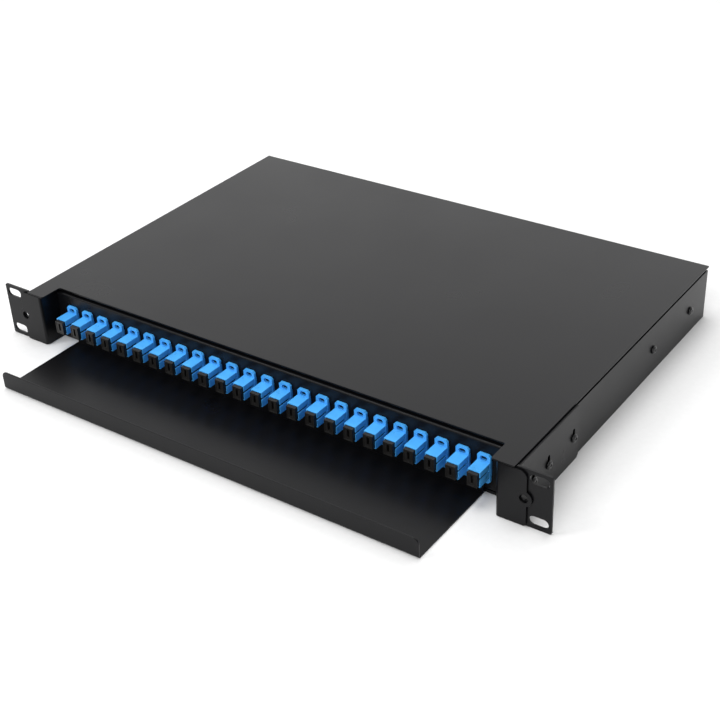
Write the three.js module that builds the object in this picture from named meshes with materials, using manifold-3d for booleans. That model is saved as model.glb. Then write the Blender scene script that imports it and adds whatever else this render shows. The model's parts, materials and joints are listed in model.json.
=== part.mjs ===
// Fiber termination box: a one-unit 19 inch rack enclosure with a sliding drawer.
// The drawer carries a row of 24 SC adapters behind an open front tray, and a splice tray inside.
// Millimetres. X runs to the right, Y to the back, Z up. While it is modelled, Y = 0 is the front
// face of the rack ears. The whole assembly is then moved so that its origin is the middle of its base.
import * as THREE from 'three';
import { mergeVertices } from 'three/addons/utils/BufferGeometryUtils.js';
import Module from 'manifold-3d';

const wasm = await Module();
wasm.setup();

// ---------------------------------------------------------------- driving dimensions

const RACK_WIDTH = 482.6; // over both ears
const UNIT_HEIGHT = 44;
const CASE_WIDTH = 430;
const CASE_DEPTH = 300;
const SHEET = 1.2; // sheet steel of the case, cover, drawer and panel
const GAP = 0.3; // between pieces that rest on each other
const CURVE = 3; // half the number of segments in each rounded stretch of an outline
const OVER = 1; // how far a cutting shape runs past what it cuts
const WELD = 1e-4; // corners nearer than this are one corner

const CASE_HALF = CASE_WIDTH / 2;
const COVER_UNDER = UNIT_HEIGHT - SHEET; // underside of the top cover
const NOTCH_BACK = 16.8; // how far the cover and the case bottom are cut back at the front

// Flange bent inwards along the top of each case side, which carries the cover. It steps up to the
// cover inside its edge, so a seam stays open under the edge.
const SIDE_FLANGE = { front: 18, width: 9, seam: 1.5, step: 2 };

const COVER = {
  front: -1.5,
  hornInner: 198.3, // inner edge of the two arms that reach forward over the posts
  frontRadius: 2,
  notchRadius: 1.5,
  flangeDrop: 11,
  flangeHalf: 211,
  screwX: 105,
  screwZ: 37.5,
};

const EAR = {
  thickness: 1.6,
  corner: 1.5,
  sideLength: 83,
  sideTop: 42.4,
  sideCorner: 2,
  slotX: 232.1,
  slotZ: [6.2, 37.95], // 31.75 apart
  slotLength: 14.2,
  slotHeight: 7,
  lockHole: 4.2,
  screwY: [20.5, 40.7, 75.5],
  screwSlot: 5.8, // how far the screw slots in the side run up from the screws
  screwTip: 213.9,
};

const SCREW = { z: 19.4, shank: 2.8, hole: 3.4, head: 6.4, headHeight: 1.7, root: 0.5, sides: 12 };
const RAIL_SCREW = { y: [204, 270], z: 20, tip: 211.5 };
const COVER_SCREW_TIP = 297.4;

const DRAWER = {
  inner: 201.6, // inner face of each side wall
  floor: 2, // underside of the floor
  front: 15.8, // front edge of the floor
  back: 279,
  rearInset: 0.6, // of the rear wall from the ends of the side walls
  wallBase: 1.7,
  wallTop: 40,
  postBase: 0.4,
  postTop: 42.4,
  postBack: 16.4,
  rearWallTop: 18,
  wingEdge: 223.8,
  wingRadius: 5,
  wingFootRadius: 2.4,
  bend: 2.4,
  lock: { x: 221.8, z: 21.5, bulge: 6, hole: 6.4, sides: 16 },
};

const PANEL = { front: 15.6, flange: 11.4, base: 3.5, top: 40.5, bend: 1.5 };

const TRAY = { half: 184, front: -63, base: 0, lipTop: 15.2, lipCorner: 4.5, bend: 2, rearUpstand: 9 };

const PORTS = 24;
const PORT = {
  pitch: 16.05,
  width: 9.3,
  base: 15.2,
  height: 11.8,
  front: 1.2,
  back: 28.6,
  flangeWidth: 9.8,
  flangeBase: 10.3,
  flangeHeight: 22,
  flangeChamfer: 1.4,
  flangeThickness: 2,
  eyeLength: 5.2,
  eyeHeight: 3.4,
  eyeOffset: 2, // from the body's top or bottom to the middle of the fixing eye
  grooveDepth: 0.7,
  grooveHeight: 1.2,
  grooveRise: 6.2,
  grooveEnd: 1, // from the end of the groove to the flange
  cap: 2.7, // how far a dust cap stands out of the port
  capInset: 0.8,
  capSlotWidth: 2,
  capSlotHeight: 6,
  capSlotDrop: 1.4, // from the cap's top to the top of its slot
  capSlotDepth: 1.2,
};

const RAIL = {
  sheet: 1.2,
  front: 6,
  outer: { back: 213.5, lip: 206.6, low: 5.4, high: 38.4, end: 286 },
  middle: { back: 208.4, lip: 211.6, low: 7.2, high: 36.6, end: 286 },
  inner: { back: 203.1, lip: 207.6, low: 10, high: 33.8, end: 276 },
};

const GLAND = {
  x: 150,
  z: 19,
  hexFlats: 24,
  thread: 9.8, // radius
  clearance: 10.1, // radius of the hole in the rear wall
  bore: 6.3,
  mouth: 4.8,
  collar: 5,
  domeLength: 19,
  domeHex: 10,
  threadInNut: 9,
  noseInset: 0.6,
  noseTaper: 3.2,
  tail: 10,
  locknut: 4.6,
  sides: 20,
};

const SPLICE = {
  halfWidth: 80,
  front: 146,
  back: 256,
  base: 3.5,
  wall: 1.6,
  height: 11,
  radius: 26,
  entryWidth: 14,
  entrySill: 1,
  lid: 1.2,
  holder: { halfWidth: 34, depth: 38, base: 1.5, height: 6.4, grooves: 12, rib: 1.7 },
};

const CLAMP = { x: 150, y: 252, width: 12, foot: 9, inner: 6, shell: 1.5, legs: 8 };

// ---------------------------------------------------------------- solids and shapes

// A closed three.js geometry as a solid that can be joined and cut.
function solid(geometry) {
  const plain = geometry.clone();
  plain.deleteAttribute('normal');
  plain.deleteAttribute('uv');
  const merged = mergeVertices(plain, WELD);
  const corners = [];
  for (let i = 0; i < merged.index.count; i += 3) {
    const [a, b, c] = [merged.index.getX(i), merged.index.getX(i + 1), merged.index.getX(i + 2)];
    if (a !== b && b !== c && c !== a) corners.push(a, b, c);
  }
  return new wasm.Manifold(new wasm.Mesh({
    numProp: 3,
    vertProperties: new Float32Array(merged.attributes.position.array),
    triVerts: new Uint32Array(corners),
  }));
}

// A solid back as a three.js geometry with flat faces.
function shapeOf(piece) {
  const mesh = piece.getMesh();
  const indexed = new THREE.BufferGeometry();
  indexed.setAttribute('position', new THREE.BufferAttribute(new Float32Array(mesh.vertProperties), 3));
  indexed.setIndex(new THREE.BufferAttribute(new Uint32Array(mesh.triVerts), 1));
  const flat = indexed.toNonIndexed();
  flat.computeVertexNormals();
  return flat;
}

// The same shape on the other side of the box: X is turned round, and so is each triangle.
function mirrored(geometry) {
  const other = geometry.clone();
  const at = other.attributes.position;
  for (let i = 0; i < at.count; i += 3) {
    const [a, b, c] = [0, 1, 2].map((k) => new THREE.Vector3().fromBufferAttribute(at, i + k));
    at.setXYZ(i, -a.x, a.y, a.z);
    at.setXYZ(i + 1, -c.x, c.y, c.z);
    at.setXYZ(i + 2, -b.x, b.y, b.z);
  }
  other.computeVertexNormals();
  return other;
}

function join(...pieces) {
  return pieces.reduce((whole, piece) => whole.add(piece));
}

function cut(body, ...tools) {
  return tools.reduce((rest, tool) => rest.subtract(tool), body);
}

function block([x0, x1], [y0, y1], [z0, z1]) {
  const geometry = new THREE.BoxGeometry(x1 - x0, y1 - y0, z1 - z0);
  geometry.translate((x0 + x1) / 2, (y0 + y1) / 2, (z0 + z1) / 2);
  return solid(geometry);
}

function extruded(shape, length) {
  return new THREE.ExtrudeGeometry(shape, { depth: length, bevelEnabled: false, curveSegments: CURVE });
}

// A plate lying flat: the outline is X, Y.
function flatPlate(outline, [z0, z1]) {
  const geometry = extruded(outline, z1 - z0);
  geometry.translate(0, 0, z0);
  return solid(geometry);
}

// A plate facing the front: the outline is X, Z.
function frontPlate(outline, [y0, y1]) {
  const geometry = extruded(outline, y1 - y0);
  geometry.rotateX(Math.PI / 2);
  geometry.translate(0, y1, 0);
  return solid(geometry);
}

// A section drawn in Y, Z and drawn out along X.
function sideProfile(outline, [x0, x1]) {
  const geometry = extruded(outline, x1 - x0);
  const axes = [new THREE.Vector3(0, 1, 0), new THREE.Vector3(0, 0, 1), new THREE.Vector3(1, 0, 0)];
  geometry.applyMatrix4(new THREE.Matrix4().makeBasis(...axes));
  geometry.translate(x0, 0, 0);
  return solid(geometry);
}

function rodAlongX(radius, [x0, x1], y, z, sides) {
  const geometry = new THREE.CylinderGeometry(radius, radius, x1 - x0, sides);
  geometry.rotateZ(Math.PI / 2);
  geometry.translate((x0 + x1) / 2, y, z);
  return solid(geometry);
}

function rodAlongY(radius, [y0, y1], x, z, sides, endRadius = radius) {
  const geometry = new THREE.CylinderGeometry(endRadius, radius, y1 - y0, sides);
  geometry.translate(x, (y0 + y1) / 2, z);
  return solid(geometry);
}

function hexAlongY(flats, [y0, y1], x, z) {
  const geometry = new THREE.CylinderGeometry(flats / Math.sqrt(3), flats / Math.sqrt(3), y1 - y0, 6);
  geometry.rotateY(Math.PI / 6);
  geometry.translate(x, (y0 + y1) / 2, z);
  return solid(geometry);
}

function polygon(points) {
  return new THREE.Shape(points.map(([x, y]) => new THREE.Vector2(x, y)));
}

function roundedRectangle([x0, x1], [y0, y1], radius) {
  const shape = new THREE.Shape();
  shape.moveTo(x0 + radius, y0);
  shape.absarc(x1 - radius, y0 + radius, radius, -Math.PI / 2, 0);
  shape.absarc(x1 - radius, y1 - radius, radius, 0, Math.PI / 2);
  shape.absarc(x0 + radius, y1 - radius, radius, Math.PI / 2, Math.PI);
  shape.absarc(x0 + radius, y0 + radius, radius, Math.PI, 1.5 * Math.PI);
  return shape;
}

function obround(x, y, length, height) {
  const radius = height / 2;
  const reach = length / 2 - radius;
  const shape = new THREE.Shape();
  shape.absarc(x + reach, y, radius, -Math.PI / 2, Math.PI / 2);
  shape.absarc(x - reach, y, radius, Math.PI / 2, 1.5 * Math.PI);
  return shape;
}

// ---------------------------------------------------------------- materials

function finish(color, roughness, metalness) {
  return () => new THREE.MeshStandardMaterial({ color, roughness, metalness });
}

const blackCoat = finish(0x26272b, 0.55, 0.3);
const zincSteel = finish(0xa9adb2, 0.35, 0.9);
const blackSteel = finish(0x1d1e20, 0.4, 0.6);
const blueAdapter = finish(0x1f86e0, 0.4, 0);
const blackNylon = finish(0x1a1a1b, 0.6, 0);
const whitePlastic = finish(0xdcdcd8, 0.5, 0);
const smokedPlastic = finish(0x9aa3ab, 0.15, 0);

// ---------------------------------------------------------------- assembly helpers

const terminationBox = new THREE.Group();
const REAR_END = CASE_DEPTH + GAP + GLAND.collar + GAP + GLAND.domeLength;
terminationBox.position.y = -(TRAY.front + REAR_END) / 2;

function addPart(name, geometry, material) {
  const mesh = new THREE.Mesh(geometry, material());
  mesh.name = name;
  terminationBox.add(mesh);
}

// A piece modelled on the right, and its mirror image on the left.
function addPair(name, piece, material) {
  const right = shapeOf(piece);
  addPart(`${name}_right`, right, material);
  addPart(`${name}_left`, mirrored(right), material);
}

// ---------------------------------------------------------------- case and cover

function screwHolesInSide(ys, z, from, to) {
  return ys.map((y) => rodAlongX(SCREW.hole / 2, [from, to], y, z, SCREW.sides));
}

function caseShell() {
  const wallInner = CASE_HALF - SHEET;
  const { front, width, seam, step } = SIDE_FLANGE;
  const top = COVER_UNDER - GAP;
  const rearHalf = CASE_HALF - step;
  const sideCut = DRAWER.inner + SHEET + 2 * GAP;
  const notch = block([-sideCut, sideCut], [-OVER, NOTCH_BACK], [-OVER, SHEET + OVER]);
  const bottom = block([-CASE_HALF, CASE_HALF], [0, CASE_DEPTH], [0, SHEET]).subtract(notch);
  const rear = block([-rearHalf, rearHalf], [CASE_DEPTH - SHEET, CASE_DEPTH], [0, top]);
  const section = polygon([
    [wallInner, 0],
    [CASE_HALF, 0],
    [CASE_HALF, top - seam],
    [CASE_HALF - step, top - seam],
    [CASE_HALF - step, top],
    [CASE_HALF - width, top],
    [CASE_HALF - width, top - seam - SHEET],
    [wallInner, top - seam - SHEET],
  ]);
  const frontEnd = block([wallInner, CASE_HALF], [0, front + OVER], [0, top - seam]);
  const right = join(frontPlate(section, [front, CASE_DEPTH]), frontEnd);
  const sides = [right, solid(mirrored(shapeOf(right)))];
  const holes = [];
  for (const [from, to] of [[-CASE_HALF - OVER, -wallInner + OVER], [wallInner - OVER, CASE_HALF + OVER]]) {
    holes.push(...screwHolesInSide(EAR.screwY, SCREW.z, from, to));
    holes.push(...screwHolesInSide(RAIL_SCREW.y, RAIL_SCREW.z, from, to));
  }
  const throughRear = [CASE_DEPTH - SHEET - OVER, CASE_DEPTH + OVER];
  for (const side of [-1, 1]) {
    holes.push(rodAlongY(GLAND.clearance, throughRear, side * GLAND.x, GLAND.z, GLAND.sides));
    holes.push(rodAlongY(SCREW.hole / 2, throughRear, side * COVER.screwX, COVER.screwZ, SCREW.sides));
  }
  return cut(join(bottom, rear, ...sides), ...holes);
}

// The flat sheet, cut back between its two forward arms, with a rear flange bent down over the case.
function topCover() {
  const { front, hornInner, frontRadius: outer, notchRadius: inner } = COVER;
  const flangeBack = CASE_DEPTH + GAP + SHEET;
  const outline = new THREE.Shape();
  outline.moveTo(-CASE_HALF, front);
  outline.lineTo(-hornInner - outer, front);
  outline.absarc(-hornInner - outer, front + outer, outer, -Math.PI / 2, 0);
  outline.absarc(-hornInner + inner, NOTCH_BACK - inner, inner, Math.PI, Math.PI / 2, true);
  outline.absarc(hornInner - inner, NOTCH_BACK - inner, inner, Math.PI / 2, 0, true);
  outline.absarc(hornInner + outer, front + outer, outer, Math.PI, 1.5 * Math.PI);
  outline.lineTo(CASE_HALF, front);
  outline.lineTo(CASE_HALF, flangeBack);
  outline.lineTo(-CASE_HALF, flangeBack);
  const sheet = flatPlate(outline, [COVER_UNDER, UNIT_HEIGHT]);
  const flange = block(
    [-COVER.flangeHalf, COVER.flangeHalf],
    [flangeBack - SHEET, flangeBack],
    [UNIT_HEIGHT - COVER.flangeDrop, COVER_UNDER + SHEET / 2],
  );
  const holes = [-1, 1].map((side) => rodAlongY(
    SCREW.hole / 2,
    [flangeBack - SHEET - OVER, flangeBack + OVER],
    side * COVER.screwX,
    COVER.screwZ,
    SCREW.sides,
  ));
  return cut(join(sheet, flange), ...holes);
}

// ---------------------------------------------------------------- rack ears and screws

// L-shaped bracket: a slotted flange for the rack rail and a plate along the case side.
function rackEar() {
  const inner = CASE_HALF + GAP;
  const outer = RACK_WIDTH / 2;
  const face = roundedRectangle([inner, outer], [0, UNIT_HEIGHT], EAR.corner);
  const flange = frontPlate(face, [0, EAR.thickness]);
  const { sideLength, sideTop, sideCorner } = EAR;
  const sideOutline = polygon([
    [0, 0],
    [sideLength - sideCorner, 0],
    [sideLength, sideCorner],
    [sideLength, sideTop - sideCorner],
    [sideLength - sideCorner, sideTop],
    [0, sideTop],
  ]);
  const side = sideProfile(sideOutline, [inner, inner + EAR.thickness]);
  const slots = EAR.slotZ.map((z) => frontPlate(
    obround(EAR.slotX, z, EAR.slotLength, EAR.slotHeight),
    [-OVER, EAR.thickness + OVER],
  ));
  const { x, z } = DRAWER.lock;
  const lock = rodAlongY(EAR.lockHole / 2, [-OVER, EAR.thickness + OVER], x, z, SCREW.sides);
  const holes = EAR.screwY.map((y) => {
    const outline = new THREE.Shape();
    outline.absarc(y, SCREW.z, SCREW.hole / 2, Math.PI, 2 * Math.PI);
    outline.absarc(y, SCREW.z + EAR.screwSlot, SCREW.hole / 2, 0, Math.PI);
    return sideProfile(outline, [inner - OVER, inner + EAR.thickness + OVER]);
  });
  return cut(join(flange, side), ...slots, lock, ...holes);
}

// Pan head screw driven in towards the middle of the case from a face at the given X.
function sideScrew(faceX, tipX, y, z) {
  const seat = faceX + GAP;
  const head = rodAlongX(SCREW.head / 2, [seat, seat + SCREW.headHeight], y, z, SCREW.sides);
  const shank = rodAlongX(SCREW.shank / 2, [tipX, seat + SCREW.root], y, z, SCREW.sides);
  return head.add(shank);
}

function coverScrew() {
  const seat = CASE_DEPTH + 2 * GAP + SHEET;
  const place = [COVER.screwX, COVER.screwZ, SCREW.sides];
  const head = rodAlongY(SCREW.head / 2, [seat, seat + SCREW.headHeight], ...place);
  return head.add(rodAlongY(SCREW.shank / 2, [COVER_SCREW_TIP, seat + SCREW.root], ...place));
}

// ---------------------------------------------------------------- telescopic slides

// One member of a slide: a C section along Y, with its back plate and its two lips towards lip.
function slideMember({ back, lip, low, high, end }) {
  const turned = Math.sign(lip - back);
  const inside = back + turned * RAIL.sheet;
  const section = polygon([
    [back, low],
    [lip, low],
    [lip, low + RAIL.sheet],
    [inside, low + RAIL.sheet],
    [inside, high - RAIL.sheet],
    [lip, high - RAIL.sheet],
    [lip, high],
    [back, high],
  ]);
  return frontPlate(section, [RAIL.front, end]);
}

function outerSlide() {
  const from = RAIL.outer.back - RAIL.sheet - OVER;
  return cut(
    slideMember(RAIL.outer),
    ...screwHolesInSide(RAIL_SCREW.y, RAIL_SCREW.z, from, RAIL.outer.back + OVER),
  );
}

// ---------------------------------------------------------------- cable glands

function glandBody() {
  const seat = CASE_DEPTH + GAP;
  const hexEnd = seat + GLAND.collar;
  const tip = CASE_DEPTH - GLAND.tail;
  const threadEnd = hexEnd + GLAND.threadInNut;
  return cut(
    join(
      hexAlongY(GLAND.hexFlats, [seat, hexEnd], GLAND.x, GLAND.z),
      rodAlongY(GLAND.thread, [tip, threadEnd], GLAND.x, GLAND.z, GLAND.sides),
    ),
    rodAlongY(GLAND.bore, [tip - OVER, threadEnd + OVER], GLAND.x, GLAND.z, GLAND.sides),
  );
}

// The nut that squeezes the seal: a hexagon, then a tapered nose with the cable's mouth.
function glandNut() {
  const start = CASE_DEPTH + 2 * GAP + GLAND.collar;
  const hexEnd = start + GLAND.domeHex;
  const end = start + GLAND.domeLength;
  const base = GLAND.hexFlats / 2 - GLAND.noseInset;
  const nose = [base, [hexEnd - OVER, end], GLAND.x, GLAND.z, GLAND.sides, base - GLAND.noseTaper];
  return cut(
    join(hexAlongY(GLAND.hexFlats, [start, hexEnd], GLAND.x, GLAND.z), rodAlongY(...nose)),
    rodAlongY(GLAND.clearance, [start - OVER, hexEnd + OVER], GLAND.x, GLAND.z, GLAND.sides),
    rodAlongY(GLAND.mouth, [hexEnd, end + OVER], GLAND.x, GLAND.z, GLAND.sides),
  );
}

function glandLocknut() {
  const seat = CASE_DEPTH - SHEET - GAP;
  return cut(
    hexAlongY(GLAND.hexFlats, [seat - GLAND.locknut, seat], GLAND.x, GLAND.z),
    rodAlongY(GLAND.clearance, [seat - GLAND.locknut - OVER, seat + OVER], GLAND.x, GLAND.z, GLAND.sides),
  );
}

// ---------------------------------------------------------------- drawer

// The right side wall with its post: the sheet is turned outwards at the front into a wing that stops
// against the rack ear. The wing has a small round lobe with the locking hole. Behind the post the
// wall is lower, and its foot is higher, so that it clears the case bottom.
function drawerSide() {
  const { inner, bend, wingEdge, lock, postBase, postTop, postBack, wallBase, wallTop, back } = DRAWER;
  const front = COVER.front;
  const reach = lock.x + lock.bulge + OVER;
  const section = new THREE.Shape();
  section.moveTo(inner, back);
  section.lineTo(inner, front + bend);
  section.absarc(inner + bend, front + bend, bend, Math.PI, 1.5 * Math.PI);
  section.lineTo(reach, front);
  section.lineTo(reach, front + SHEET);
  section.absarc(inner + bend, front + bend, bend - SHEET, 1.5 * Math.PI, Math.PI, true);
  section.lineTo(inner + SHEET, back);
  const sheet = flatPlate(section, [postBase, postTop]);

  const lobe = Math.acos((wingEdge - lock.x) / lock.bulge);
  const foot = DRAWER.wingFootRadius;
  const shoulder = DRAWER.wingRadius;
  const face = new THREE.Shape();
  face.moveTo(inner - OVER, postBase - OVER);
  face.lineTo(wingEdge - foot - OVER, postBase - OVER);
  face.lineTo(wingEdge - foot, postBase);
  face.absarc(wingEdge - foot, postBase + foot, foot, -Math.PI / 2, 0);
  face.absarc(lock.x, lock.z, lock.bulge, -lobe, lobe);
  face.absarc(wingEdge - shoulder, postTop - shoulder, shoulder, 0, Math.PI / 2);
  face.lineTo(wingEdge - shoulder - OVER, postTop + OVER);
  face.lineTo(inner - OVER, postTop + OVER);
  const flank = polygon([
    [front - OVER, postBase - OVER],
    [postBack, postBase - OVER],
    [postBack, wallBase],
    [back + OVER, wallBase],
    [back + OVER, wallTop],
    [postBack, wallTop],
    [postBack, postTop + OVER],
    [front - OVER, postTop + OVER],
  ]);
  const through = [front - OVER, front + SHEET + OVER];
  return sheet
    .intersect(frontPlate(face, [front - 2 * OVER, back + 2 * OVER]))
    .intersect(sideProfile(flank, [inner - 2 * OVER, reach + 2 * OVER]))
    .subtract(rodAlongY(lock.hole / 2, through, lock.x, lock.z, lock.sides));
}

// The floor and the rear wall are let into the side walls by half of the sheet's thickness.
function drawerChassis() {
  const { inner, floor, back, front, rearWallTop, rearInset } = DRAWER;
  const letIn = inner + SHEET / 2;
  const bottom = block([-letIn, letIn], [front, back - rearInset / 2], [floor, floor + SHEET]);
  const rearFace = back - rearInset;
  const rear = block([-letIn, letIn], [rearFace - SHEET, rearFace], [floor + SHEET / 2, rearWallTop]);
  const rightSide = drawerSide();
  return join(bottom, rear, rightSide, solid(mirrored(shapeOf(rightSide))));
}

// Upright panel with a flange bent back along its top and bottom edges, and one cut-out for each adapter.
function adapterPanel() {
  const { front, base, top, bend } = PANEL;
  const half = DRAWER.inner - GAP;
  const flangeEnd = front + PANEL.flange;
  const section = new THREE.Shape();
  section.moveTo(flangeEnd, base);
  section.lineTo(flangeEnd, base + SHEET);
  section.absarc(front + bend, base + bend, bend - SHEET, 1.5 * Math.PI, Math.PI, true);
  section.absarc(front + bend, top - bend, bend - SHEET, Math.PI, Math.PI / 2, true);
  section.lineTo(flangeEnd, top - SHEET);
  section.lineTo(flangeEnd, top);
  section.absarc(front + bend, top - bend, bend, Math.PI / 2, Math.PI);
  section.absarc(front + bend, base + bend, bend, Math.PI, 1.5 * Math.PI);
  const openings = portCentres().map((x) => block(
    [x - PORT.width / 2 - GAP, x + PORT.width / 2 + GAP],
    [front - OVER, front + SHEET + OVER],
    [PORT.base - GAP, PORT.base + PORT.height + GAP],
  ));
  return cut(sideProfile(section, [-half, half]), ...openings);
}

// Cable tray in front of the ports: a flat shelf with a lip along its front edge.
function frontTray() {
  const { half, front, base, lipTop, bend } = TRAY;
  const rear = PANEL.front - GAP;
  const section = new THREE.Shape();
  section.moveTo(front, lipTop);
  section.lineTo(front, base + bend);
  section.absarc(front + bend, base + bend, bend, Math.PI, 1.5 * Math.PI);
  section.lineTo(rear, base);
  section.lineTo(rear, TRAY.rearUpstand);
  section.lineTo(rear - SHEET, TRAY.rearUpstand);
  section.lineTo(rear - SHEET, base + SHEET);
  section.absarc(front + bend, base + bend, bend - SHEET, 1.5 * Math.PI, Math.PI, true);
  section.lineTo(front + SHEET, lipTop);
  const corner = TRAY.lipCorner;
  const face = new THREE.Shape();
  face.moveTo(-half, base - OVER);
  face.lineTo(half, base - OVER);
  face.absarc(half - corner, lipTop - corner, corner, 0, Math.PI / 2);
  face.absarc(-half + corner, lipTop - corner, corner, Math.PI / 2, Math.PI);
  return sideProfile(section, [-half, half]).intersect(frontPlate(face, [front - OVER, rear + OVER]));
}

// ---------------------------------------------------------------- adapters

function portCentres() {
  const middle = (PORTS - 1) / 2;
  return Array.from({ length: PORTS }, (_, i) => (i - middle) * PORT.pitch);
}

// One SC adapter with a dust cap in each end. It is drawn at X = 0.
function adapter() {
  const half = PORT.width / 2;
  const top = PORT.base + PORT.height;
  const body = block([-half, half], [PORT.front, PORT.back], [PORT.base, top]);

  const flangeBack = PANEL.front - GAP;
  const flangeFront = flangeBack - PORT.flangeThickness;
  const flangeTop = PORT.flangeBase + PORT.flangeHeight;
  const chamfer = PORT.flangeChamfer;
  const wide = PORT.flangeWidth / 2;
  const flange = frontPlate(polygon([
    [-wide + chamfer, PORT.flangeBase],
    [wide - chamfer, PORT.flangeBase],
    [wide, PORT.flangeBase + chamfer],
    [wide, flangeTop - chamfer],
    [wide - chamfer, flangeTop],
    [-wide + chamfer, flangeTop],
    [-wide, flangeTop - chamfer],
    [-wide, PORT.flangeBase + chamfer],
  ]), [flangeFront, flangeBack]);
  const eyes = [PORT.base - PORT.eyeOffset, top + PORT.eyeOffset].map((z) => frontPlate(
    obround(0, z, PORT.eyeLength, PORT.eyeHeight),
    [flangeFront - OVER, flangeBack + OVER],
  ));

  const grooveBase = PORT.base + PORT.grooveRise;
  const grooves = [-1, 1].map((side) => {
    const x = [side * half - PORT.grooveDepth, side * half + PORT.grooveDepth];
    const y = [PORT.front - OVER, flangeFront - PORT.grooveEnd];
    return block(x, y, [grooveBase, grooveBase + PORT.grooveHeight]);
  });

  const capHalf = half - PORT.capInset;
  const capZ = [PORT.base + PORT.capInset, top - PORT.capInset];
  const capY = [PORT.front - PORT.cap, PORT.back + PORT.cap];
  const cap = block([-capHalf, capHalf], capY, capZ);
  const slotTop = capZ[1] - PORT.capSlotDrop;
  const slots = [
    [capY[0] - OVER, capY[0] + PORT.capSlotDepth],
    [capY[1] - PORT.capSlotDepth, capY[1] + OVER],
  ].map((y) => block(
    [-PORT.capSlotWidth / 2, PORT.capSlotWidth / 2],
    y,
    [slotTop - PORT.capSlotHeight, slotTop],
  ));
  return cut(join(cut(join(body, flange), ...eyes, ...grooves), cap), ...slots);
}

// ---------------------------------------------------------------- splice tray and cable clamps

function spliceTray() {
  const { halfWidth, front, back, base, wall, height, radius, entryWidth } = SPLICE;
  const outer = roundedRectangle([-halfWidth, halfWidth], [front, back], radius);
  const inner = roundedRectangle(
    [-halfWidth + wall, halfWidth - wall],
    [front + wall, back - wall],
    radius - wall,
  );
  const entries = [-1, 1].map((side) => {
    const middle = side * (halfWidth - radius - entryWidth);
    return block(
      [middle - entryWidth / 2, middle + entryWidth / 2],
      [front - OVER, front + wall + OVER],
      [base + wall + SPLICE.entrySill, base + height + OVER],
    );
  });
  return cut(
    flatPlate(outer, [base, base + height]),
    flatPlate(inner, [base + wall, base + height + OVER]),
    ...entries,
  );
}

// A comb of parallel grooves, each holding one splice sleeve.
function spliceHolder() {
  const { halfWidth, depth, base, height, grooves, rib } = SPLICE.holder;
  const floor = SPLICE.base + SPLICE.wall + GAP;
  const pitch = (2 * halfWidth - rib) / grooves;
  const points = [[-halfWidth, floor], [halfWidth, floor]];
  for (let i = grooves; i >= 0; i -= 1) {
    const x = -halfWidth + i * pitch;
    points.push([x + rib, floor + (i === grooves ? height : base)]);
    if (i !== grooves) points.push([x + rib, floor + height]);
    points.push([x, floor + height]);
    if (i !== 0) points.push([x, floor + base]);
  }
  const middle = (SPLICE.front + SPLICE.back) / 2;
  return frontPlate(polygon(points), [middle - depth / 2, middle + depth / 2]);
}

function spliceTrayLid() {
  const z = SPLICE.base + SPLICE.height + GAP;
  const outline = roundedRectangle(
    [-SPLICE.halfWidth, SPLICE.halfWidth],
    [SPLICE.front, SPLICE.back],
    SPLICE.radius,
  );
  return flatPlate(outline, [z, z + SPLICE.lid]);
}

// A saddle over the incoming cable, standing on the drawer's floor.
function cableClamp() {
  const base = DRAWER.floor + SHEET + GAP;
  const outer = CLAMP.inner + CLAMP.shell;
  const shoulder = base + CLAMP.legs;
  const outline = new THREE.Shape();
  outline.moveTo(CLAMP.x + CLAMP.inner, base);
  outline.lineTo(CLAMP.x + outer + CLAMP.foot, base);
  outline.lineTo(CLAMP.x + outer + CLAMP.foot, base + CLAMP.shell);
  outline.lineTo(CLAMP.x + outer, base + CLAMP.shell);
  outline.absarc(CLAMP.x, shoulder, outer, 0, Math.PI);
  outline.lineTo(CLAMP.x - outer, base + CLAMP.shell);
  outline.lineTo(CLAMP.x - outer - CLAMP.foot, base + CLAMP.shell);
  outline.lineTo(CLAMP.x - outer - CLAMP.foot, base);
  outline.lineTo(CLAMP.x - CLAMP.inner, base);
  outline.absarc(CLAMP.x, shoulder, CLAMP.inner, Math.PI, 0, true);
  return frontPlate(outline, [CLAMP.y - CLAMP.width / 2, CLAMP.y + CLAMP.width / 2]);
}

// ---------------------------------------------------------------- the assembly

addPart('case_shell', shapeOf(caseShell()), blackCoat);
addPart('top_cover', shapeOf(topCover()), blackCoat);

addPair('rack_ear', rackEar(), blackCoat);
EAR.screwY.forEach((y, i) => {
  const face = CASE_HALF + GAP + EAR.thickness;
  addPair(`ear_screw_${i + 1}`, sideScrew(face, EAR.screwTip, y, SCREW.z), blackSteel);
});
RAIL_SCREW.y.forEach((y, i) => {
  addPair(`slide_screw_${i + 1}`, sideScrew(CASE_HALF, RAIL_SCREW.tip, y, RAIL_SCREW.z), blackSteel);
});
addPair('cover_screw', coverScrew(), blackSteel);

addPair('slide_outer', outerSlide(), zincSteel);
addPair('slide_middle', slideMember(RAIL.middle), zincSteel);
addPair('slide_inner', slideMember(RAIL.inner), zincSteel);

addPair('gland_body', glandBody(), blackNylon);
addPair('gland_nut', glandNut(), blackNylon);
addPair('gland_locknut', glandLocknut(), blackNylon);

addPart('drawer_chassis', shapeOf(drawerChassis()), blackCoat);
addPart('adapter_panel', shapeOf(adapterPanel()), blackCoat);
addPart('front_tray', shapeOf(frontTray()), blackCoat);

const adapterShape = shapeOf(adapter());
portCentres().forEach((x, i) => {
  const name = `adapter_${String(i + 1).padStart(2, '0')}`;
  addPart(name, adapterShape.clone().translate(x, 0, 0), blueAdapter);
});

addPart('splice_tray', shapeOf(spliceTray()), blackNylon);
addPart('splice_holder', shapeOf(spliceHolder()), whitePlastic);
addPart('splice_tray_lid', shapeOf(spliceTrayLid()), smokedPlastic);
addPair('cable_clamp', cableClamp(), zincSteel);

export default terminationBox;
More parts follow.
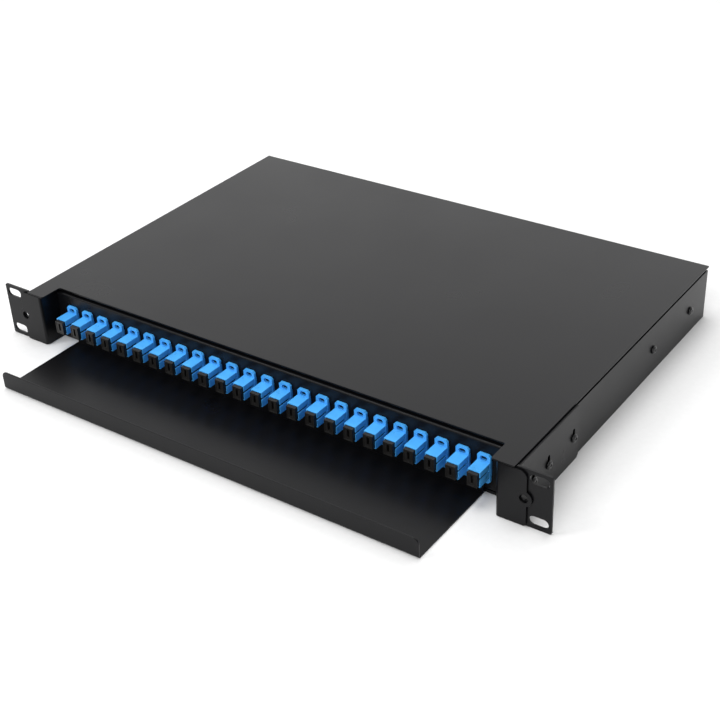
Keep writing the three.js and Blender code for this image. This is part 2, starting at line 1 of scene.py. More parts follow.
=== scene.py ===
"""A rack-mount fiber termination box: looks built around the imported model.

Metres, +X right, +Y back, +Z up. Sizes of small details are written in millimetres and
turned into metres by MM. Places come from the frame's own nodes.
"""
import json
import math

import bmesh
import bpy
from mathutils import Matrix, Vector


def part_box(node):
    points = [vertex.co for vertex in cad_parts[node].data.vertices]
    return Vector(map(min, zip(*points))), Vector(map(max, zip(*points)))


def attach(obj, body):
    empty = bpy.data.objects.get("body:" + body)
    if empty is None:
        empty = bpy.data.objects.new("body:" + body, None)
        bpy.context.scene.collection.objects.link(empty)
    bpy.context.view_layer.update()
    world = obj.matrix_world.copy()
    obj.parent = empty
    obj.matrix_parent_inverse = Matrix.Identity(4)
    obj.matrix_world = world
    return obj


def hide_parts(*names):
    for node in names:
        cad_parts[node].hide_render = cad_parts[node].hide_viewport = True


MM = 0.001

CAMERA_AZIMUTH = math.radians(36.35)
CAMERA_ELEVATION = math.radians(31.86)
CAMERA_ROLL = -0.0484
CAMERA_DISTANCE = 1.0846
CAMERA_AIM = Vector((-0.0101, 0.0192, -0.0327))
CAMERA_LENS = 67.41

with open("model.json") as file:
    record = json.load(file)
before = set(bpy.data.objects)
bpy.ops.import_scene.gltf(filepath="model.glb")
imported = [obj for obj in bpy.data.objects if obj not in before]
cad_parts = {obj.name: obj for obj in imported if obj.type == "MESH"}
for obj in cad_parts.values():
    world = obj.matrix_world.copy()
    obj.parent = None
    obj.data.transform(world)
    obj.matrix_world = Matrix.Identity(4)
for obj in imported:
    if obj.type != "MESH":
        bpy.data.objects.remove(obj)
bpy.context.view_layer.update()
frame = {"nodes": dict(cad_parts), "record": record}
nodes = frame["nodes"]


# ------------------------------------------------------------------ node materials


RANGE_SOCKETS = ("From Min", "From Max", "To Min", "To Max")


class Shader:
    """A Principled material that is put together node by node."""

    def __init__(self, name):
        self.material = bpy.data.materials.new(name)
        self.material.use_nodes = True
        self.nodes = self.material.node_tree.nodes
        self.links = self.material.node_tree.links
        self.bsdf = self.nodes["Principled BSDF"]
        coordinates = self.nodes.new("ShaderNodeTexCoord")
        self.place = coordinates.outputs["Object"]

    def set(self, **values):
        """Sets sockets of the Principled shader that stay constant."""
        for name, value in values.items():
            self.bsdf.inputs[name.replace("_", " ")].default_value = value
        return self

    def noise(self, size_mm, detail=2.0, stretch=None):
        """Noise whose features are about size_mm across, optionally squeezed along X, Y, Z."""
        place = self.place
        if stretch:
            mapping = self.nodes.new("ShaderNodeMapping")
            mapping.inputs["Scale"].default_value = stretch
            self.links.new(place, mapping.inputs["Vector"])
            place = mapping.outputs["Vector"]
        noise = self.nodes.new("ShaderNodeTexNoise")
        noise.inputs["Scale"].default_value = 1 / (size_mm * MM)
        noise.inputs["Detail"].default_value = detail
        self.links.new(place, noise.inputs["Vector"])
        return noise.outputs["Fac"]

    def colours(self, factor, *stops):
        """A colour ramp of (position, (r, g, b)) stops."""
        ramp = self.nodes.new("ShaderNodeValToRGB")
        while len(ramp.color_ramp.elements) < len(stops):
            ramp.color_ramp.elements.new(1.0)
        for element, (position, colour) in zip(ramp.color_ramp.elements, stops):
            element.position = position
            element.color = (*colour, 1.0)
        self.links.new(factor, ramp.inputs["Fac"])
        return ramp.outputs["Color"]

    def span(self, factor, low, high, from_low=0.3, from_high=0.7):
        """A number that runs from low to high as the factor crosses its own middle range."""
        scale = self.nodes.new("ShaderNodeMapRange")
        for name, value in zip(RANGE_SOCKETS, (from_low, from_high, low, high)):
            scale.inputs[name].default_value = value
        self.links.new(factor, scale.inputs["Value"])
        return scale.outputs["Result"]

    def feed(self, output, socket):
        """Links an output to a socket of the Principled shader."""
        self.links.new(output, self.bsdf.inputs[socket])
        return self

    def bump(self, *layers):
        """Bump from (height output, strength, height in millimetres) layers."""
        normal = None
        for height, strength, distance_mm in layers:
            bump = self.nodes.new("ShaderNodeBump")
            bump.inputs["Strength"].default_value = strength
            bump.inputs["Distance"].default_value = distance_mm * MM
            self.links.new(height, bump.inputs["Height"])
            if normal:
                self.links.new(normal, bump.inputs["Normal"])
            normal = bump.outputs["Normal"]
        self.links.new(normal, self.bsdf.inputs["Normal"])
        return self


def shades(colour, spread):
    """A darker and a lighter version of a colour."""
    return tuple(c * (1 - spread) for c in colour), tuple(c * (1 + spread) for c in colour)


def powder_coat(name, colour):
    """Fine-textured powder coat: small orange-peel bumps over slow changes of tone."""
    made = Shader(name)
    grain = made.noise(0.9, detail=3.0)
    drift = made.noise(60.0, detail=3.0)
    dark, light = shades(colour, 0.16)
    made.feed(made.colours(grain, (0.35, dark), (0.65, light)), "Base Color")
    made.feed(made.span(drift, 0.27, 0.33), "Roughness")
    made.bump((grain, 0.35, 0.06), (made.noise(3.5), 0.25, 0.05))
    return made.set(Metallic=0.0, Specular_IOR_Level=0.185).material


def moulded(name, colour, roughness=0.4, spread=0.08, grain_mm=0.5):
    """Injection-moulded plastic with a fine spark-eroded skin."""
    made = Shader(name)
    skin = made.noise(grain_mm, detail=2.0)
    drift = made.noise(9.0, detail=2.0)
    dark, light = shades(colour, spread)
    made.feed(made.colours(drift, (0.3, dark), (0.7, light)), "Base Color")
    made.feed(made.span(drift, roughness - 0.04, roughness + 0.05), "Roughness")
    made.bump((skin, 0.2, 0.02))
    return made.material


def plated(name, colour, roughness=0.3):
    """Zinc-plated steel, brushed along Y."""
    made = Shader(name)
    lines = made.noise(0.4, detail=4.0, stretch=(1.0, 0.03, 1.0))
    cloud = made.noise(14.0, detail=3.0)
    dark, light = shades(colour, 0.12)
    made.feed(made.colours(cloud, (0.3, dark), (0.7, light)), "Base Color")
    made.feed(made.span(lines, roughness - 0.06, roughness + 0.1), "Roughness")
    made.bump((lines, 0.15, 0.02))
    return made.set(Metallic=1.0).material


def clear_plastic(name, colour):
    """Clear polycarbonate with a faint grey tint and light handling haze."""
    made = Shader(name)
    haze = made.noise(25.0, detail=4.0)
    dark, light = shades(colour, 0.05)
    made.feed(made.colours(haze, (0.3, dark), (0.7, light)), "Base Color")
    made.feed(made.span(haze, 0.04, 0.12), "Roughness")
    return made.set(Alpha=0.32, IOR=1.58).material


COAT = powder_coat("black_powder_coat", (0.0044, 0.0044, 0.0052))
BLACK_SCREW = moulded("black_screw", (0.010, 0.010, 0.011), roughness=0.26, grain_mm=0.8)
BLUE = moulded("adapter_blue", (0.075, 0.42, 0.93), roughness=0.3)
CAP_BLACK = moulded("dust_cap_black", (0.006, 0.0055, 0.005), roughness=0.5)
NYLON = moulded("gland_nylon", (0.016, 0.016, 0.017), roughness=0.5)
TRAY_BLACK = moulded("tray_plastic", (0.024, 0.024, 0.026), roughness=0.45)
COMB_WHITE = moulded("holder_plastic", (0.70, 0.70, 0.67), roughness=0.45, spread=0.04)
ZINC = plated("zinc_steel", (0.55, 0.56, 0.58))
LID_CLEAR = clear_plastic("lid_clear", (0.55, 0.60, 0.64))

SLOT_LOOK = {
    "black_powder_coat": COAT,
    "black_screw": BLACK_SCREW,
    "adapter_blue": BLUE,
    "dust_cap_black": CAP_BLACK,
    "gland_nylon": NYLON,
    "tray_plastic": TRAY_BLACK,
    "holder_plastic": COMB_WHITE,
    "zinc_steel": ZINC,
    "lid_clear": LID_CLEAR,
}


# ------------------------------------------------------------------ carried-over CAD nodes


SMOOTH_BELOW = math.radians(32)
BEVEL_ABOVE = math.radians(35)
FLAT_WITHIN = math.radians(0.5)
WELD_MM = 0.002


def smooth_by_angle():
    """A geometry group that shades smooth across every edge flatter than SMOOTH_BELOW."""
    group = bpy.data.node_groups.new("smooth_by_angle", "GeometryNodeTree")
    group.interface.new_socket("Geometry", in_out="INPUT", socket_type="NodeSocketGeometry")
    group.interface.new_socket("Geometry", in_out="OUTPUT", socket_type="NodeSocketGeometry")
    start = group.nodes.new("NodeGroupInput")
    end = group.nodes.new("NodeGroupOutput")
    angle = group.nodes.new("GeometryNodeInputMeshEdgeAngle")
    flat = group.nodes.new("FunctionNodeCompare")
    flat.operation = "LESS_THAN"
    flat.inputs["B"].default_value = SMOOTH_BELOW
    edges = group.nodes.new("GeometryNodeSetShadeSmooth")
    edges.domain = "EDGE"
    faces = group.nodes.new("GeometryNodeSetShadeSmooth")
    faces.domain = "FACE"
    link = group.links.new
    link(angle.outputs["Unsigned Angle"], flat.inputs["A"])
    link(start.outputs["Geometry"], faces.inputs["Geometry"])
    link(faces.outputs["Geometry"], edges.inputs["Geometry"])
    link(flat.outputs["Result"], edges.inputs["Shade Smooth"])
    link(edges.outputs["Geometry"], end.inputs["Geometry"])
    return group


SMOOTH = smooth_by_angle()


def soften(piece, bevel_mm, from_cad=True, domed=False):
    """Rounds a piece's sharp edges with modifiers. Flat faces stay flat, except on a domed piece."""
    if from_cad:
        weld = piece.modifiers.new("weld", "WELD")
        weld.merge_threshold = WELD_MM * MM
        flat = piece.modifiers.new("merge_flat_faces", "DECIMATE")
        flat.decimate_type = "DISSOLVE"
        flat.angle_limit = FLAT_WITHIN
    if bevel_mm:
        bevel = piece.modifiers.new("round_edges", "BEVEL")
        bevel.width = bevel_mm * MM
        bevel.segments = 2
        bevel.limit_method = "ANGLE"
        bevel.angle_limit = BEVEL_ABOVE
        bevel.harden_normals = False
        bevel.use_clamp_overlap = True
    smooth = piece.modifiers.new("smooth", "NODES")
    smooth.node_group = SMOOTH
    if domed:
        return
    normals = piece.modifiers.new("flat_faces_stay_flat", "WEIGHTED_NORMAL")
    normals.keep_sharp = True
    normals.weight = 100


def paint(piece, look):
    """Gives a piece one material."""
    piece.data.materials.clear()
    piece.data.materials.append(look)


# Radius-like width of the rounded edges, by the material of the node.
BEVEL_MM = {
    "black_powder_coat": 0.35,
    "black_screw": 0.3,
    "zinc_steel": 0.2,
    "gland_nylon": 0.4,
    "adapter_blue": 0.25,
    "tray_plastic": 0.3,
    "holder_plastic": 0.15,
    "lid_clear": 0.3,
}

COVER_BEVEL_MM = 0.55

slot_of = {part["node"]: part["material_slot"] for part in frame["record"]["subparts"]}
for name, piece in nodes.items():
    slot = slot_of[name]
    paint(piece, SLOT_LOOK[slot])
    soften(piece, COVER_BEVEL_MM if name == "top_cover" else BEVEL_MM[slot])


# ------------------------------------------------------------------ mesh building


def mesh_from(name, build):
    """A mesh filled by build(bmesh), with its faces turned outwards."""
    shape = bmesh.new()
    build(shape)
    bmesh.ops.recalc_face_normals(shape, faces=shape.faces)
    mesh = bpy.data.meshes.new(name)
    shape.to_mesh(mesh)
    shape.free()
    return mesh


def add_prism(shape, corners, axis, low, high):
    """A prism on a polygon. A corner is the two coordinates besides the axis, in X, Y, Z order."""

    def ring(level):
        points = []
        for a, b in corners:
            point = [a, b]
            point.insert(axis, level)
            points.append(shape.verts.new(point))
        return points

    start, end = ring(low), ring(high)
    shape.faces.new(start)
    shape.faces.new(end)
    for i, corner in enumerate(start):
        after = (i + 1) % len(start)
        shape.faces.new((corner, start[after], end[after], end[i]))


def add_box(shape, low, high):
    """A box between two opposite corners."""
    corners = [(low[0], low[1]), (high[0], low[1]), (high[0], high[1]), (low[0], high[1])]
    add_prism(shape, corners, 2, low[2], high[2])


def add_lathe(shape, profile, centre, axis, steps=32):
    """A closed solid of revolution. The profile is (radius, height) points along the axis."""
    across = [i for i in range(3) if i != axis]
    rings = []
    for radius, height in profile:
        ring = []
        for k in range(1 if radius == 0 else steps):
            angle = 2 * math.pi * k / steps
            point = list(centre)
            point[axis] += height
            point[across[0]] += radius * math.cos(angle)
            point[across[1]] += radius * math.sin(angle)
            ring.append(shape.verts.new(point))
        rings.append(ring)
    for a, b in zip(rings, rings[1:] + rings[:1]):
        if len(a) == 1 and len(b) == 1:
            continue
        for k in range(steps):
            after = (k + 1) % steps
            corners = [a[k % len(a)], a[after % len(a)], b[after % len(b)], b[k % len(b)]]
            shape.faces.new(list(dict.fromkeys(corners)))


def boolean(base, operation, *tools):
    """The base mesh with each tool mesh cut from it, joined to it or kept in common with it."""
    body = bpy.data.objects.new("boolean_base", base)
    bpy.context.scene.collection.objects.link(body)
    helpers = []
    for tool in tools:
        helper = bpy.data.objects.new("boolean_tool", tool)
        bpy.context.scene.collection.objects.link(helper)
        modifier = body.modifiers.new("boolean", "BOOLEAN")
        modifier.operation = operation
        modifier.solver = "EXACT"
        modifier.object = helper
        helpers.append(helper)
    evaluated = body.evaluated_get(bpy.context.evaluated_depsgraph_get())
    result = bpy.data.meshes.new_from_object(evaluated)
    for extra in [body, *helpers]:
        bpy.data.objects.remove(extra)
    return result


def place(name, mesh, slot, body, bevel_mm, replaces=(), domed=False):
    """A new piece from a mesh in the row frame, riding on a body."""
    piece = bpy.data.objects.new(name, mesh)
    bpy.context.scene.collection.objects.link(piece)
    paint(piece, SLOT_LOOK[slot])
    soften(piece, bevel_mm, from_cad=False, domed=domed)
    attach(piece, body)
    if replaces:
        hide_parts(*replaces)
    return piece


# ------------------------------------------------------------------ adapters and dust caps

# Millimetres. The adapter's front end is at Y = 0 and the underside of its body at Z = 0.
CAP_PROUD = 2.7
HOUSING = {"width": 9.3, "height": 11.8, "length": 27.4, "below": 4.9, "flange_y": (12.1, 14.1)}
HOUSING_FLANGE = {"width": 9.8, "chamfer": 1.4, "low": -4.9, "high": 17.1}
PORT_WALL = 0.62
PORT_DEPTH = 11.0
EYE = {"length": 5.2, "height": 3.4, "offset": 2.0, "sides": 20}
GROOVE = {"depth": 0.8, "low": 6.1, "high": 7.5, "slope": 0.6, "end": 11.1}
CAP = {"side": 3.8, "low": 0.8, "high": 11.0, "inside": 9.0}
CAP_SLOT = {"half": 0.9, "depth": 2.6, "low": 3.4, "high": 9.4}
CAP_RIM = 0.75
CAP_DISH = 0.25
CLIP = {"from": 16.4, "to": 23.0, "low": 2.6, "high": 9.2, "sheet": 0.35, "flare": 0.9, "gap": 0.05}
CLIP_BEND = 2.5  # from the clip's front to where its leaves leave the housing
CLIP_BAND = (4.0, 1.0)  # from the clip's front and back to the edges of its band
OVER = 1.0  # how far a cutting shape runs past what it cuts


def obround(length, height, x, y, sides):
    """Corners of a slot with round ends."""
    radius = height / 2
    points = []
    for k in range(sides):
        angle = 2 * math.pi * (k + 0.5) / sides
        reach = math.copysign(length / 2 - radius, math.cos(angle))
        points.append((x + reach + radius * math.cos(angle), y + radius * math.sin(angle)))
    return points


def housing_mesh():
    """An adapter housing with a port at each end, a fixing flange and a groove in each side."""
    half, height, length = HOUSING["width"] / 2, HOUSING["height"], HOUSING["length"]
    front, back = HOUSING["flange_y"]
    wide, cut = HOUSING_FLANGE["width"] / 2, HOUSING_FLANGE["chamfer"]
    low, high = HOUSING_FLANGE["low"], HOUSING_FLANGE["high"]
    plate = [
        (-wide + cut, low), (wide - cut, low), (wide, low + cut), (wide, high - cut),
        (wide - cut, high), (-wide + cut, high), (-wide, high - cut), (-wide, low + cut),
    ]
    body = mesh_from("body", lambda s: add_box(s, (-half, 0, 0), (half, length, height)))
    flange = mesh_from("flange", lambda s: add_prism(s, plate, 1, front, back))
    body = boolean(body, "UNION", flange)

    tools = []
    inside, roof = half - PORT_WALL, height - PORT_WALL
    for y in ((-OVER, PORT_DEPTH), (length - PORT_DEPTH, length + OVER)):
        low_corner, high_corner = (-inside, y[0], PORT_WALL), (inside, y[1], roof)
        tools.append(mesh_from("port", lambda s, a=low_corner, b=high_corner: add_box(s, a, b)))
    for z in (-EYE["offset"], height + EYE["offset"]):
        outline = obround(EYE["length"], EYE["height"], 0, z, EYE["sides"])
        tools.append(mesh_from("eye", lambda s, o=outline: add_prism(s, o, 1, front - OVER, back + OVER)))
    for side in (-1, 1):
        deep, ledge = half - GROOVE["depth"], GROOVE["low"] - GROOVE["slope"]
        section = [
            (deep, GROOVE["high"]), (deep, GROOVE["low"]), (half, ledge), (half + OVER, ledge),
            (half + OVER, GROOVE["high"]),
        ]
        outline = [(side * x, z) for x, z in section]
        tools.append(mesh_from("groove", lambda s, o=outline: add_prism(s, o, 1, -OVER, GROOVE["end"])))
    return boolean(body, "DIFFERENCE", *tools)


def cap_mesh():
    """The dust cap in the front port: a block with a shallow dish and a slot for a fingernail."""
    side, low, high = CAP["side"], CAP["low"], CAP["high"]
    front = -CAP_PROUD
    block = mesh_from("cap", lambda s: add_box(s, (-side, front, low), (side, CAP["inside"], high)))
    dish_low = (-side + CAP_RIM, front - OVER, low + CAP_RIM)
    dish_high = (side - CAP_RIM, front + CAP_DISH, high - CAP_RIM)
    dish = mesh_from("dish", lambda s: add_box(s, dish_low, dish_high))
    slot_low = (-CAP_SLOT["half"], front - OVER, CAP_SLOT["low"])
    slot_high = (CAP_SLOT["half"], front + CAP_SLOT["depth"], CAP_SLOT["high"])
    slot = mesh_from("slot", lambda s: add_box(s, slot_low, slot_high))
    return boolean(block, "DIFFERENCE", dish, slot)


def clip_mesh():
    """The spring clip behind the flange: a band over the housing with a flared leaf down each side."""
    half, height = HOUSING["width"] / 2, HOUSING["height"]
    start, end = CLIP["from"], CLIP["to"]
    bend = start + CLIP_BEND
    band_start, band_end = start + CLIP_BAND[0], end - CLIP_BAND[1]
    inside = half + CLIP["gap"]
    reach = inside + CLIP["sheet"]
    under = height + CLIP["gap"]

    def build(shape):
        for side in (-1, 1):
            x0, x1 = side * inside, side * reach
            tip0, tip1 = x0 + side * CLIP["flare"], x1 + side * CLIP["flare"]
            outline = [(x0, end), (x0, bend), (tip0, start), (tip1, start), (x1, bend), (x1, end)]
            add_prism(shape, outline, 2, CLIP["low"], CLIP["high"])
            add_box(shape, (min(x0, x1), band_start, CLIP["high"]), (max(x0, x1), band_end, under))
        add_box(shape, (-reach, band_start, under), (reach, band_end, under + CLIP["sheet"]))

    return mesh_from("clip", build)


def scaled(mesh, offset, turn=0.0):
    """A copy of a millimetre mesh in metres, turned about Z and then moved."""
    copy = mesh.copy()
    copy.transform(Matrix.Translation(offset) @ Matrix.Rotation(turn, 4, "Z") @ Matrix.Scale(MM, 4))
    return copy


ADAPTER_BEVEL_MM = 0.35
CLIP_BEVEL_MM = 0.08
CAP_BEVEL_MM = 0.3


def adapters():
    """Replaces each plain adapter by its housing, its spring clip and its two dust caps."""
    housing, cap, clip = housing_mesh(), cap_mesh(), clip_mesh()
    for node in sorted(n for n in nodes if n.startswith("adapter_") and n != "adapter_panel"):
        number = node.removeprefix("adapter_")
        low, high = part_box(node)
        middle = (low.x + high.x) / 2
        base = low.z + HOUSING["below"] * MM
        front = Vector((middle, low.y + CAP_PROUD * MM, base))
        back = Vector((middle, high.y - CAP_PROUD * MM, base))
        body = scaled(housing, front)
        rear_cap = scaled(cap, back, math.pi)
        place(f"adapter_housing_{number}", body, "adapter_blue", "drawer", ADAPTER_BEVEL_MM, [node])
        place(f"adapter_clip_{number}", scaled(clip, front), "zinc_steel", "drawer", CLIP_BEVEL_MM)
        place(f"dust_cap_front_{number}", scaled(cap, front), "dust_cap_black", "drawer", CAP_BEVEL_MM)
        place(f"dust_cap_rear_{number}", rear_cap, "dust_cap_black", "drawer", CAP_BEVEL_MM)


adapters()


# ------------------------------------------------------------------ screws and rivets

# Millimetres. Profiles are (radius, height above the seat).
PAN_HEAD = [(0, 1.7), (1.5, 1.66), (2.4, 1.45), (2.95, 1.0), (3.2, 0.35), (3.2, 0.0)]
HEAD_HEIGHT = PAN_HEAD[0][1]
SHANK_RADIUS = 1.4
RECESS = {"half_length": 1.3, "half_width": 0.34, "floor": 0.95}
SCREW_STEPS = 32
SCREW_BEVEL_MM = 0.1


def screw_mesh(length):
    """A pan head screw with a cross recess. Its seat is at Z = 0 and its head is above."""
    profile = PAN_HEAD + [(SHANK_RADIUS, 0.0), (SHANK_RADIUS, -length), (0, -length)]
    body = mesh_from("screw", lambda s: add_lathe(s, profile, (0, 0, 0), 2, SCREW_STEPS))
    a, b, floor = RECESS["half_length"], RECESS["half_width"], RECESS["floor"]
    above = 2 * floor + OVER
    arms = [
        mesh_from("arm", lambda s, x=x, y=y: add_box(s, (-x, -y, floor), (x, y, above)))
        for x, y in ((a, b), (b, a))
    ]
    return boolean(body, "DIFFERENCE", *arms)


def facing(outward, seat):
    """Takes a fastener in millimetres from its own frame to a seat, with its head outward."""
    turn = Vector((0, 0, 1)).rotation_difference(outward).to_matrix().to_4x4()
    return Matrix.Translation(seat) @ turn @ Matrix.Scale(MM, 4)


def screws():
    """Replaces each plain CAD screw. The cover's go in from the back, and the others from the sides."""
    for node in sorted(n for n in nodes if "_screw_" in n):
        low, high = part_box(node)
        axis = 1 if node.startswith("cover_screw") else 0
        seat = (low + high) / 2
        sign = 1 if seat[axis] > 0 else -1
        outward = Vector([sign if i == axis else 0 for i in range(3)])
        outer_end = high if sign > 0 else low
        seat[axis] = outer_end[axis] - sign * HEAD_HEIGHT * MM
        mesh = screw_mesh((high - low)[axis] / MM - HEAD_HEIGHT)
        mesh.transform(facing(outward, seat))
        place(f"head_{node}", mesh, "black_screw", "enclosure", SCREW_BEVEL_MM, [node], domed=True)


RIVET = [(0, 1.0), (1.4, 0.85), (2.3, 0.45), (2.6, 0.0), (2.6, -0.3), (0, -0.3)]
RIVET_SHARES = (0.12, 0.5, 0.88)  # along the inner member
DRAWER_WALL = 1.5  # from the inner member's back to the inside of the drawer's wall


def slide_rivets():
    """Rivets that hold the slides' inner members to the drawer's walls, seen from inside the drawer."""
    for side, inward in (("left", Vector((1, 0, 0))), ("right", Vector((-1, 0, 0)))):
        low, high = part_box(f"slide_inner_{side}")
        back = high.x if side == "left" else low.x
        for k, share in enumerate(RIVET_SHARES, start=1):
            seat = (low + high) / 2
            seat.x = back + inward.x * DRAWER_WALL * MM
            seat.y = low.y + share * (high.y - low.y)
            mesh = mesh_from("rivet", lambda s: add_lathe(s, RIVET, (0, 0, 0), 2, SCREW_STEPS))
            mesh.transform(facing(inward, seat))
            place(f"slide_rivet_{k}_{side}", mesh, "zinc_steel", "drawer", SCREW_BEVEL_MM, domed=True)


screws()
slide_rivets()


# ------------------------------------------------------------------ cable glands

# Millimetres. Everything here is made along Y.
GLAND_STEPS = 48
THREAD = {"outer": 9.8, "root": 9.1, "pitch": 1.5}
THREAD_RISE, THREAD_CREST, THREAD_FALL = 0.5, 0.25, 0.5  # along Y, from one root to the next
THREAD_START = 0.2
HEX_FLATS = 24.0
HEX_CHAMFER = 1.0
HEX_EDGE = 0.4  # how far the chamfered end reaches past the flats
NUT_HEX = 10.0  # length of the clamping nut's hexagon
COLLAR_START, COLLAR = 10.3, 5.0  # the body's own hexagon
BODY_BORE, NUT_BORE, MOUTH = 6.3, 10.1, 4.8  # radii
SEAL = [(3.3, 11.5), (4.7, 11.5), (4.7, 18.2), (4.2, 18.6), (3.6, 18.5), (3.3, 18.0)]
BODY_BEVEL_MM, DOME_BEVEL_MM, RING_BEVEL_MM = 0.15, 0.25, 0.2


def turned(name, profile):
    """A solid of revolution about Y."""
    return mesh_from(name, lambda s: add_lathe(s, profile, (0, 0, 0), 1, GLAND_STEPS))


def hexagon(length):
    """A hexagonal collar along Y with its corners turned down at both ends."""
    corner = HEX_FLATS / math.sqrt(3)
    points = [(corner * math.cos(k * math.pi / 3), corner * math.sin(k * math.pi / 3)) for k in range(6)]
    prism = mesh_from("hexagon", lambda s: add_prism(s, points, 1, 0, length))
    edge = HEX_FLATS / 2 + HEX_EDGE
    low, high = HEX_CHAMFER, length - HEX_CHAMFER
    barrel = [(0, 0), (edge, 0), (corner, low), (corner, high), (edge, length), (0, length)]
    return boolean(prism, "INTERSECT", turned("barrel", barrel))


def bored(mesh, radius, start, end):
    """The mesh with a round hole along Y."""
    tool = [(0, start), (radius, start), (radius, end), (0, end)]
    return boolean(mesh, "DIFFERENCE", turned("bore", tool))


def threaded_rod(length):
    """Rings of thread along Y."""
    profile = [(0, 0), (THREAD["root"], 0)]
    for k in range(int(length / THREAD["pitch"])):
        y = k * THREAD["pitch"] + THREAD_START
        crest = y + THREAD_RISE
        profile += [(THREAD["root"], y), (THREAD["outer"], crest), (THREAD["outer"], crest + THREAD_CREST)]
        profile += [(THREAD["root"], crest + THREAD_CREST + THREAD_FALL)]
    profile += [(THREAD["root"], length), (0, length)]
    return turned("thread", profile)


def gland_body_mesh(length):
    """A hollow threaded tube with a hexagonal collar."""
    collar = hexagon(COLLAR)
    collar.transform(Matrix.Translation((0, COLLAR_START, 0)))
    body = boolean(threaded_rod(length), "UNION", collar)
    return bored(body, BODY_BORE, -OVER, length + OVER)


def gland_nut_mesh(length):
    """A hexagon that runs into a domed nose, hollow inside, with the cable's mouth at its tip."""
    nose = [
        (0, NUT_HEX - 1), (11.4, NUT_HEX - 1), (11.4, NUT_HEX + 1.5), (11.0, NUT_HEX + 4.0),
        (10.2, NUT_HEX + 6.2), (9.2, length - 1.2), (8.4, length - 0.3), (7.8, length), (0, length),
    ]
    body = boolean(hexagon(NUT_HEX), "UNION", turned("nose", nose))
    hollow = bored(body, NUT_BORE, -OVER, NUT_HEX + 1)
    return bored(hollow, MOUTH, NUT_HEX, length + OVER)


def locknut_mesh(length):
    """A flat hexagonal nut."""
    return bored(hexagon(length), NUT_BORE, -OVER, length + OVER)


GLAND_PIECES = (
    ("gland_body", "gland_threaded_body", gland_body_mesh, BODY_BEVEL_MM),
    ("gland_nut", "gland_domed_nut", gland_nut_mesh, DOME_BEVEL_MM),
    ("gland_locknut", "gland_ring_nut", locknut_mesh, RING_BEVEL_MM),
)


def glands():
    """Replaces the three plain pieces of each gland, and adds the seal inside its clamping nut."""
    for side in ("left", "right"):
        for node, name, build, bevel_mm in GLAND_PIECES:
            low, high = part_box(f"{node}_{side}")
            start = Vector(((low.x + high.x) / 2, low.y, (low.z + high.z) / 2))
            mesh = scaled(build((high.y - low.y) / MM), start)
            place(f"{name}_{side}", mesh, "gland_nylon", "enclosure", bevel_mm, [f"{node}_{side}"])
            if node == "gland_nut":
                seal = scaled(turned("seal", SEAL), start)
                place(f"gland_seal_{side}", seal, "dust_cap_black", "enclosure", 0.0)


glands()


# ------------------------------------------------------------------ inside the drawer

# Millimetres.
TAB = {"length": 12.0, "depth": 5.0, "sheet": 0.9, "below_top": 0.25, "wall": 1.6, "bite": 0.1}
TAB_SHARES = (0.3, 0.7)  # along the splice tray's rear wall
TAB_BEVEL_MM = 0.25
CLAMP_FOOT = {"height": 1.5, "hole": 4.8, "gap": 0.05}
CLAMP_SHANK = 1.4


def splice_tray_tabs():
    """Flat tabs at the top of the splice tray's walls, which keep the fibre down."""
    low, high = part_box("splice_tray")
    top = high.z / MM - TAB["below_top"]
    under = top - TAB["sheet"]
    inset = TAB["wall"] - TAB["bite"]
    x0, x1 = low.x / MM + inset, high.x / MM - inset
    y1 = high.y / MM - inset
    middle = (low.y + high.y) / MM / 2
    reach = TAB["length"] / 2

    def build(shape):
        for x in (x0, x1 - TAB["depth"]):
            add_box(shape, (x, middle - reach, under), (x + TAB["depth"], middle + reach, top))
        for share in TAB_SHARES:
            x = x0 + share * (x1 - x0)
            add_box(shape, (x - reach, y1 - TAB["depth"], under), (x + reach, y1, top))

    tabs = scaled(mesh_from("tabs", build), (0, 0, 0))
    place("splice_tray_tabs", tabs, "tray_plastic", "drawer", TAB_BEVEL_MM)


def clamp_screws():
    """A zinc screw through each foot of the cable clamps."""
    for side in ("left", "right"):
        low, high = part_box(f"cable_clamp_{side}")
        hole = CLAMP_FOOT["hole"] * MM
        seat = low.z + (CLAMP_FOOT["height"] + CLAMP_FOOT["gap"]) * MM
        for k, x in enumerate((low.x + hole, high.x - hole), start=1):
            mesh = scaled(screw_mesh(CLAMP_SHANK), (x, (low.y + high.y) / 2, seat))
            place(f"clamp_screw_{k}_{side}", mesh, "zinc_steel", "drawer", SCREW_BEVEL_MM, domed=True)


splice_tray_tabs()
clamp_screws()


# ------------------------------------------------------------------ floor, lights, camera

# Directions in the sky, each with its brightness: from and to along the direction, then low and high.
SKY = (
    ((0.0, 0.0, 1.0), (0.55, 0.9, 1.0, 0.5)),
    ((-0.5, 0.68, 0.53), (0.0, 0.9, 0.45, 1.5)),
)


# Square lamps that all face the origin: name, place, side in metres, watts.
LAMPS = (
    ("key", (-1.15, -1.3, 1.6), 0.6, 9),
    ("fill", (0.3, -1.8, 1.3), 1.2, 15),
    ("back", (0.3, 1.9, 1.5), 1.8, 4),
    ("top", (-0.3, -0.1, 2.0), 1.0, 16),
)

FLOOR_HALF = 8.0
FLOOR_SHADES = ((0.86, 0.86, 0.86), (0.88, 0.88, 0.88))


def floor():
    """A plain pale floor under the box."""
    sheet = bpy.data.meshes.new("floor")
    half = FLOOR_HALF
    corners = [(-half, -half, 0), (half, -half, 0), (half, half, 0), (-half, half, 0)]
    sheet.from_pydata(corners, [], [(0, 1, 2, 3)])
    ground = bpy.data.objects.new("floor", sheet)
    bpy.context.scene.collection.objects.link(ground)
    made = Shader("floor_paper")
    dark, light = FLOOR_SHADES
    made.feed(made.colours(made.noise(4.0), (0.3, dark), (0.7, light)), "Base Color")
    made.set(Roughness=0.7, Specular_IOR_Level=0.2)
    paint(ground, made.material)


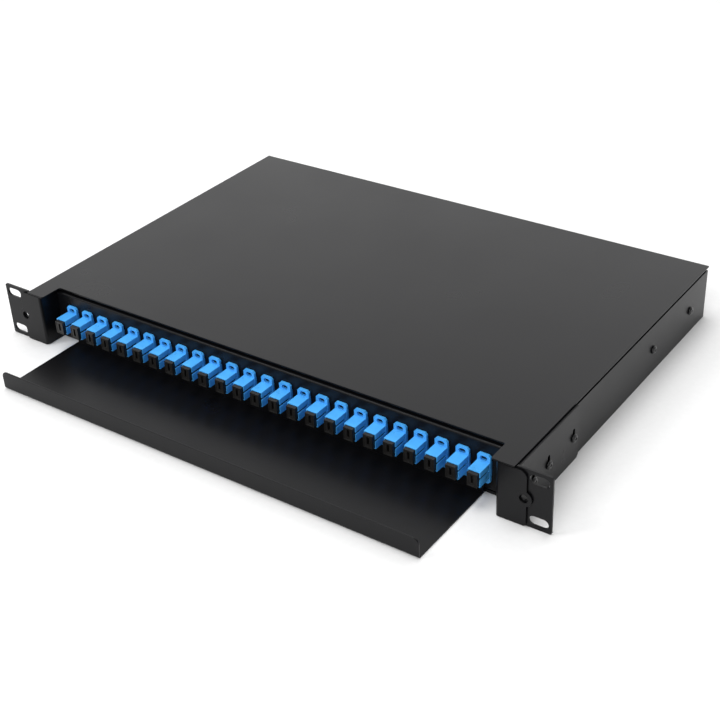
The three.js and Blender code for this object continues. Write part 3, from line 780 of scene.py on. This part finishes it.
def sky():
    """A white world whose strength is the product of the SKY ramps."""
    world = bpy.data.worlds.new("studio")
    bpy.context.scene.world = world
    world.use_nodes = True
    tree = world.node_tree
    background = tree.nodes["Background"]
    background.inputs["Color"].default_value = (1.0, 1.0, 1.0, 1.0)
    direction = tree.nodes.new("ShaderNodeTexCoord")
    strength = tree.nodes.new("ShaderNodeMath")
    strength.operation = "MULTIPLY"
    for k, (towards, ramp) in enumerate(SKY):
        along = tree.nodes.new("ShaderNodeVectorMath")
        along.operation = "DOT_PRODUCT"
        along.inputs[1].default_value = Vector(towards).normalized()
        fade = tree.nodes.new("ShaderNodeMapRange")
        for name, value in zip(RANGE_SOCKETS, ramp):
            fade.inputs[name].default_value = value
        tree.links.new(direction.outputs["Generated"], along.inputs[0])
        tree.links.new(along.outputs["Value"], fade.inputs["Value"])
        tree.links.new(fade.outputs["Result"], strength.inputs[k])
    tree.links.new(strength.outputs["Value"], background.inputs["Strength"])


def lamps():
    """The LAMPS, as square area lights."""
    for name, spot, size, watts in LAMPS:
        lamp = bpy.data.lights.new(name, "AREA")
        lamp.size = size
        lamp.energy = watts
        light = bpy.data.objects.new(name, lamp)
        bpy.context.scene.collection.objects.link(light)
        light.location = spot
        light.rotation_euler = (-Vector(spot)).to_track_quat("-Z", "Y").to_euler()


def camera():
    """The camera looks at CAMERA_AIM from its azimuth and elevation, and is turned by its roll."""
    lens = bpy.data.cameras.new("camera")
    lens.sensor_width = 36.0
    lens.lens = CAMERA_LENS
    lens.clip_start = 0.01
    lens.clip_end = 100.0
    view = bpy.data.objects.new("camera", lens)
    bpy.context.scene.collection.objects.link(view)
    turn, rise = CAMERA_AZIMUTH, CAMERA_ELEVATION
    back = Vector((math.sin(turn) * math.cos(rise), -math.cos(turn) * math.cos(rise), math.sin(rise)))
    level = Vector((math.cos(turn), math.sin(turn), 0))
    upright = back.cross(level)
    c, s = math.cos(CAMERA_ROLL), math.sin(CAMERA_ROLL)
    right = c * level + s * upright
    up = -s * level + c * upright
    pose = Matrix((right, up, back)).transposed().to_4x4()
    pose.translation = CAMERA_AIM + CAMERA_DISTANCE * back
    view.matrix_world = pose
    bpy.context.scene.camera = view


floor()
sky()
lamps()
camera()
bpy.context.scene.view_settings.view_transform = "Standard"
